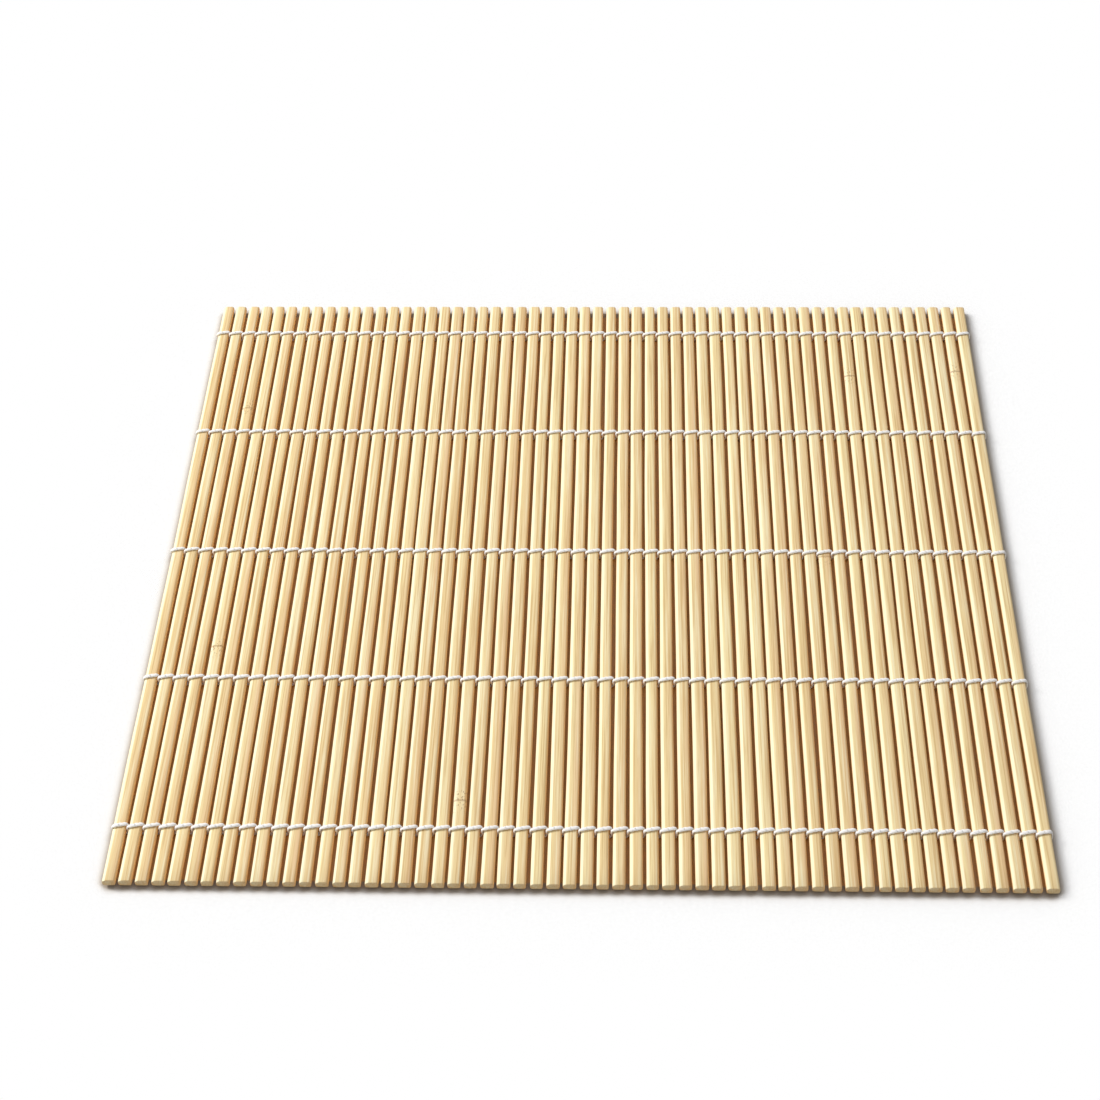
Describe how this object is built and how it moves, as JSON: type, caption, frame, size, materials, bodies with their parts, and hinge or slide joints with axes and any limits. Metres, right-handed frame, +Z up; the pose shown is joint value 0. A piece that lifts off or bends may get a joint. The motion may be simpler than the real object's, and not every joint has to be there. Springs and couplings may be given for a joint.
{
  "type": "sushi rolling mat",
  "caption": "Flat mat of bamboo slats bound side by side by rows of cotton cord, which bends at every gap and rolls up to shape sushi.",
  "frame": {"origin": "under the middle of the flat mat, on the surface it lies on", "axes": "+X across the slats, to the right in the picture; +Y along the slats, away from the viewer; +Z up"},
  "size_m": [0.2404, 0.24, 0.0033],
  "materials": {
    "bamboo": "bare split bamboo, satin",
    "cotton_cord": "undyed white cotton"
  },
  "bodies": {
    "section_01": {"slat_01": "bamboo", "cord_turns_left": "cotton_cord"},
    "section_02": {"slat_02": "bamboo"},
    "section_03": {"slat_03": "bamboo"},
    "section_04": {"slat_04": "bamboo"},
    "section_05": {"slat_05": "bamboo"},
    "section_06": {"slat_06": "bamboo"},
    "section_07": {"slat_07": "bamboo"},
    "section_08": {"slat_08": "bamboo"},
    "section_09": {"slat_09": "bamboo"},
    "section_10": {"slat_10": "bamboo"},
    "section_11": {"slat_11": "bamboo"},
    "section_12": {"slat_12": "bamboo"},
    "section_13": {"slat_13": "bamboo"},
    "section_14": {"slat_14": "bamboo"},
    "section_15": {"slat_15": "bamboo"},
    "section_16": {"slat_16": "bamboo"},
    "section_17": {"slat_17": "bamboo"},
    "section_18": {"slat_18": "bamboo"},
    "section_19": {"slat_19": "bamboo"},
    "section_20": {"slat_20": "bamboo"},
    "section_21": {"slat_21": "bamboo"},
    "section_22": {"slat_22": "bamboo"},
    "section_23": {"slat_23": "bamboo"},
    "section_24": {"slat_24": "bamboo"},
    "section_25": {"slat_25": "bamboo"},
    "section_26": {"slat_26": "bamboo"},
    "section_27": {"slat_27": "bamboo"},
    "section_28": {"slat_28": "bamboo"},
    "section_29": {"slat_29": "bamboo"},
    "section_30": {"slat_30": "bamboo"},
    "section_31": {"slat_31": "bamboo"},
    "section_32": {"slat_32": "bamboo"},
    "section_33": {"slat_33": "bamboo"},
    "section_34": {"slat_34": "bamboo"},
    "section_35": {"slat_35": "bamboo"},
    "section_36": {"slat_36": "bamboo"},
    "section_37": {"slat_37": "bamboo"},
    "section_38": {"slat_38": "bamboo"},
    "section_39": {"slat_39": "bamboo"},
    "section_40": {"slat_40": "bamboo"},
    "section_41": {"slat_41": "bamboo"},
    "section_42": {"slat_42": "bamboo"},
    "section_43": {"slat_43": "bamboo"},
    "section_44": {"slat_44": "bamboo"},
    "section_45": {"slat_45": "bamboo"},
    "section_46": {"slat_46": "bamboo"},
    "section_47": {"slat_47": "bamboo"},
    "section_48": {"slat_48": "bamboo"},
    "section_49": {"slat_49": "bamboo"},
    "section_50": {"slat_50": "bamboo"},
    "section_51": {"slat_51": "bamboo"},
    "section_52": {"slat_52": "bamboo"},
    "section_53": {"slat_53": "bamboo"},
    "section_54": {"slat_54": "bamboo"},
    "section_55": {"slat_55": "bamboo"},
    "section_56": {"slat_56": "bamboo"},
    "section_57": {"slat_57": "bamboo"},
    "section_58": {"slat_58": "bamboo", "cord_turns_right": "cotton_cord"}
  },
  "joints": [
    {"name": "bend_01", "type": "hinge", "parent": "section_02", "child": "section_01", "pos_m": [-0.11592, 0, 0.00165], "axis": [0, 1, 0], "range_deg": [-11.15, 11.15]},
    {"name": "bend_02", "type": "hinge", "parent": "section_03", "child": "section_02", "pos_m": [-0.11178, 0, 0.00165], "axis": [0, 1, 0], "range_deg": [-11.21, 11.21]},
    {"name": "bend_03", "type": "hinge", "parent": "section_04", "child": "section_03", "pos_m": [-0.10764, 0, 0.00165], "axis": [0, 1, 0], "range_deg": [-11.27, 11.27]},
    {"name": "bend_04", "type": "hinge", "parent": "section_05", "child": "section_04", "pos_m": [-0.1035, 0, 0.00165], "axis": [0, 1, 0], "range_deg": [-11.34, 11.34]},
    {"name": "bend_05", "type": "hinge", "parent": "section_06", "child": "section_05", "pos_m": [-0.09936, 0, 0.00165], "axis": [0, 1, 0], "range_deg": [-11.4, 11.4]},
    {"name": "bend_06", "type": "hinge", "parent": "section_07", "child": "section_06", "pos_m": [-0.09522, 0, 0.00165], "axis": [0, 1, 0], "range_deg": [-11.46, 11.46]},
    {"name": "bend_07", "type": "hinge", "parent": "section_08", "child": "section_07", "pos_m": [-0.09108, 0, 0.00165], "axis": [0, 1, 0], "range_deg": [-11.53, 11.53]},
    {"name": "bend_08", "type": "hinge", "parent": "section_09", "child": "section_08", "pos_m": [-0.08694, 0, 0.00165], "axis": [0, 1, 0], "range_deg": [-11.59, 11.59]},
    {"name": "bend_09", "type": "hinge", "parent": "section_10", "child": "section_09", "pos_m": [-0.0828, 0, 0.00165], "axis": [0, 1, 0], "range_deg": [-11.66, 11.66]},
    {"name": "bend_10", "type": "hinge", "parent": "section_11", "child": "section_10", "pos_m": [-0.07866, 0, 0.00165], "axis": [0, 1, 0], "range_deg": [-11.73, 11.73]},
    {"name": "bend_11", "type": "hinge", "parent": "section_12", "child": "section_11", "pos_m": [-0.07452, 0, 0.00165], "axis": [0, 1, 0], "range_deg": [-11.8, 11.8]},
    {"name": "bend_12", "type": "hinge", "parent": "section_13", "child": "section_12", "pos_m": [-0.07038, 0, 0.00165], "axis": [0, 1, 0], "range_deg": [-11.87, 11.87]},
    {"name": "bend_13", "type": "hinge", "parent": "section_14", "child": "section_13", "pos_m": [-0.06624, 0, 0.00165], "axis": [0, 1, 0], "range_deg": [-11.94, 11.94]},
    {"name": "bend_14", "type": "hinge", "parent": "section_15", "child": "section_14", "pos_m": [-0.0621, 0, 0.00165], "axis": [0, 1, 0], "range_deg": [-12.01, 12.01]},
    {"name": "bend_15", "type": "hinge", "parent": "section_16", "child": "section_15", "pos_m": [-0.05796, 0, 0.00165], "axis": [0, 1, 0], "range_deg": [-12.09, 12.09]},
    {"name": "bend_16", "type": "hinge", "parent": "section_17", "child": "section_16", "pos_m": [-0.05382, 0, 0.00165], "axis": [0, 1, 0], "range_deg": [-12.17, 12.17]},
    {"name": "bend_17", "type": "hinge", "parent": "section_18", "child": "section_17", "pos_m": [-0.04968, 0, 0.00165], "axis": [0, 1, 0], "range_deg": [-12.24, 12.24]},
    {"name": "bend_18", "type": "hinge", "parent": "section_19", "child": "section_18", "pos_m": [-0.04554, 0, 0.00165], "axis": [0, 1, 0], "range_deg": [-12.32, 12.32]},
    {"name": "bend_19", "type": "hinge", "parent": "section_20", "child": "section_19", "pos_m": [-0.0414, 0, 0.00165], "axis": [0, 1, 0], "range_deg": [-12.4, 12.4]},
    {"name": "bend_20", "type": "hinge", "parent": "section_21", "child": "section_20", "pos_m": [-0.03726, 0, 0.00165], "axis": [0, 1, 0], "range_deg": [-12.49, 12.49]},
    {"name": "bend_21", "type": "hinge", "parent": "section_22", "child": "section_21", "pos_m": [-0.03312, 0, 0.00165], "axis": [0, 1, 0], "range_deg": [-12.57, 12.57]},
    {"name": "bend_22", "type": "hinge", "parent": "section_23", "child": "section_22", "pos_m": [-0.02898, 0, 0.00165], "axis": [0, 1, 0], "range_deg": [-12.66, 12.66]},
    {"name": "bend_23", "type": "hinge", "parent": "section_24", "child": "section_23", "pos_m": [-0.02484, 0, 0.00165], "axis": [0, 1, 0], "range_deg": [-12.74, 12.74]},
    {"name": "bend_24", "type": "hinge", "parent": "section_25", "child": "section_24", "pos_m": [-0.0207, 0, 0.00165], "axis": [0, 1, 0], "range_deg": [-12.83, 12.83]},
    {"name": "bend_25", "type": "hinge", "parent": "section_26", "child": "section_25", "pos_m": [-0.01656, 0, 0.00165], "axis": [0, 1, 0], "range_deg": [-12.92, 12.92]},
    {"name": "bend_26", "type": "hinge", "parent": "section_27", "child": "section_26", "pos_m": [-0.01242, 0, 0.00165], "axis": [0, 1, 0], "range_deg": [-13.02, 13.02]},
    {"name": "bend_27", "type": "hinge", "parent": "section_27", "child": "section_28", "pos_m": [-0.00828, 0, 0.00165], "axis": [0, -1, 0], "range_deg": [-13.11, 13.11]},
    {"name": "bend_28", "type": "hinge", "parent": "section_28", "child": "section_29", "pos_m": [-0.00414, 0, 0.00165], "axis": [0, -1, 0], "range_deg": [-13.21, 13.21]},
    {"name": "bend_29", "type": "hinge", "parent": "section_29", "child": "section_30", "pos_m": [0, 0, 0.00165], "axis": [0, -1, 0], "range_deg": [-13.31, 13.31]},
    {"name": "bend_30", "type": "hinge", "parent": "section_30", "child": "section_31", "pos_m": [0.00414, 0, 0.00165], "axis": [0, -1, 0], "range_deg": [-13.41, 13.41]},
    {"name": "bend_31", "type": "hinge", "parent": "section_31", "child": "section_32", "pos_m": [0.00828, 0, 0.00165], "axis": [0, -1, 0], "range_deg": [-13.52, 13.52]},
    {"name": "bend_32", "type": "hinge", "parent": "section_32", "child": "section_33", "pos_m": [0.01242, 0, 0.00165], "axis": [0, -1, 0], "range_deg": [-13.62, 13.62]},
    {"name": "bend_33", "type": "hinge", "parent": "section_33", "child": "section_34", "pos_m": [0.01656, 0, 0.00165], "axis": [0, -1, 0], "range_deg": [-13.73, 13.73]},
    {"name": "bend_34", "type": "hinge", "parent": "section_34", "child": "section_35", "pos_m": [0.0207, 0, 0.00165], "axis": [0, -1, 0], "range_deg": [-13.84, 13.84]},
    {"name": "bend_35", "type": "hinge", "parent": "section_35", "child": "section_36", "pos_m": [0.02484, 0, 0.00165], "axis": [0, -1, 0], "range_deg": [-13.96, 13.96]},
    {"name": "bend_36", "type": "hinge", "parent": "section_36", "child": "section_37", "pos_m": [0.02898, 0, 0.00165], "axis": [0, -1, 0], "range_deg": [-14.08, 14.08]},
    {"name": "bend_37", "type": "hinge", "parent": "section_37", "child": "section_38", "pos_m": [0.03312, 0, 0.00165], "axis": [0, -1, 0], "range_deg": [-14.2, 14.2]},
    {"name": "bend_38", "type": "hinge", "parent": "section_38", "child": "section_39", "pos_m": [0.03726, 0, 0.00165], "axis": [0, -1, 0], "range_deg": [-14.32, 14.32]},
    {"name": "bend_39", "type": "hinge", "parent": "section_39", "child": "section_40", "pos_m": [0.0414, 0, 0.00165], "axis": [0, -1, 0], "range_deg": [-14.45, 14.45]},
    {"name": "bend_40", "type": "hinge", "parent": "section_40", "child": "section_41", "pos_m": [0.04554, 0, 0.00165], "axis": [0, -1, 0], "range_deg": [-14.58, 14.58]},
    {"name": "bend_41", "type": "hinge", "parent": "section_41", "child": "section_42", "pos_m": [0.04968, 0, 0.00165], "axis": [0, -1, 0], "range_deg": [-14.71, 14.71]},
    {"name": "bend_42", "type": "hinge", "parent": "section_42", "child": "section_43", "pos_m": [0.05382, 0, 0.00165], "axis": [0, -1, 0], "range_deg": [-14.85, 14.85]},
    {"name": "bend_43", "type": "hinge", "parent": "section_43", "child": "section_44", "pos_m": [0.05796, 0, 0.00165], "axis": [0, -1, 0], "range_deg": [-14.99, 14.99]},
    {"name": "bend_44", "type": "hinge", "parent": "section_44", "child": "section_45", "pos_m": [0.0621, 0, 0.00165], "axis": [0, -1, 0], "range_deg": [-15.14, 15.14]},
    {"name": "bend_45", "type": "hinge", "parent": "section_45", "child": "section_46", "pos_m": [0.06624, 0, 0.00165], "axis": [0, -1, 0], "range_deg": [-15.29, 15.29]},
    {"name": "bend_46", "type": "hinge", "parent": "section_46", "child": "section_47", "pos_m": [0.07038, 0, 0.00165], "axis": [0, -1, 0], "range_deg": [-15.45, 15.45]},
    {"name": "bend_47", "type": "hinge", "parent": "section_47", "child": "section_48", "pos_m": [0.07452, 0, 0.00165], "axis": [0, -1, 0], "range_deg": [-15.61, 15.61]},
    {"name": "bend_48", "type": "hinge", "parent": "section_48", "child": "section_49", "pos_m": [0.07866, 0, 0.00165], "axis": [0, -1, 0], "range_deg": [-15.77, 15.77]},
    {"name": "bend_49", "type": "hinge", "parent": "section_49", "child": "section_50", "pos_m": [0.0828, 0, 0.00165], "axis": [0, -1, 0], "range_deg": [-15.94, 15.94]},
    {"name": "bend_50", "type": "hinge", "parent": "section_50", "child": "section_51", "pos_m": [0.08694, 0, 0.00165], "axis": [0, -1, 0], "range_deg": [-16.12, 16.12]},
    {"name": "bend_51", "type": "hinge", "parent": "section_51", "child": "section_52", "pos_m": [0.09108, 0, 0.00165], "axis": [0, -1, 0], "range_deg": [-16.3, 16.3]},
    {"name": "bend_52", "type": "hinge", "parent": "section_52", "child": "section_53", "pos_m": [0.09522, 0, 0.00165], "axis": [0, -1, 0], "range_deg": [-16.49, 16.49]},
    {"name": "bend_53", "type": "hinge", "parent": "section_53", "child": "section_54", "pos_m": [0.09936, 0, 0.00165], "axis": [0, -1, 0], "range_deg": [-16.68, 16.68]},
    {"name": "bend_54", "type": "hinge", "parent": "section_54", "child": "section_55", "pos_m": [0.1035, 0, 0.00165], "axis": [0, -1, 0], "range_deg": [-16.88, 16.88]},
    {"name": "bend_55", "type": "hinge", "parent": "section_55", "child": "section_56", "pos_m": [0.10764, 0, 0.00165], "axis": [0, -1, 0], "range_deg": [-17.09, 17.09]},
    {"name": "bend_56", "type": "hinge", "parent": "section_56", "child": "section_57", "pos_m": [0.11178, 0, 0.00165], "axis": [0, -1, 0], "range_deg": [-17.31, 17.31]},
    {"name": "bend_57", "type": "hinge", "parent": "section_57", "child": "section_58", "pos_m": [0.11592, 0, 0.00165], "axis": [0, -1, 0], "range_deg": [-17.54, 17.54]}
  ]
}
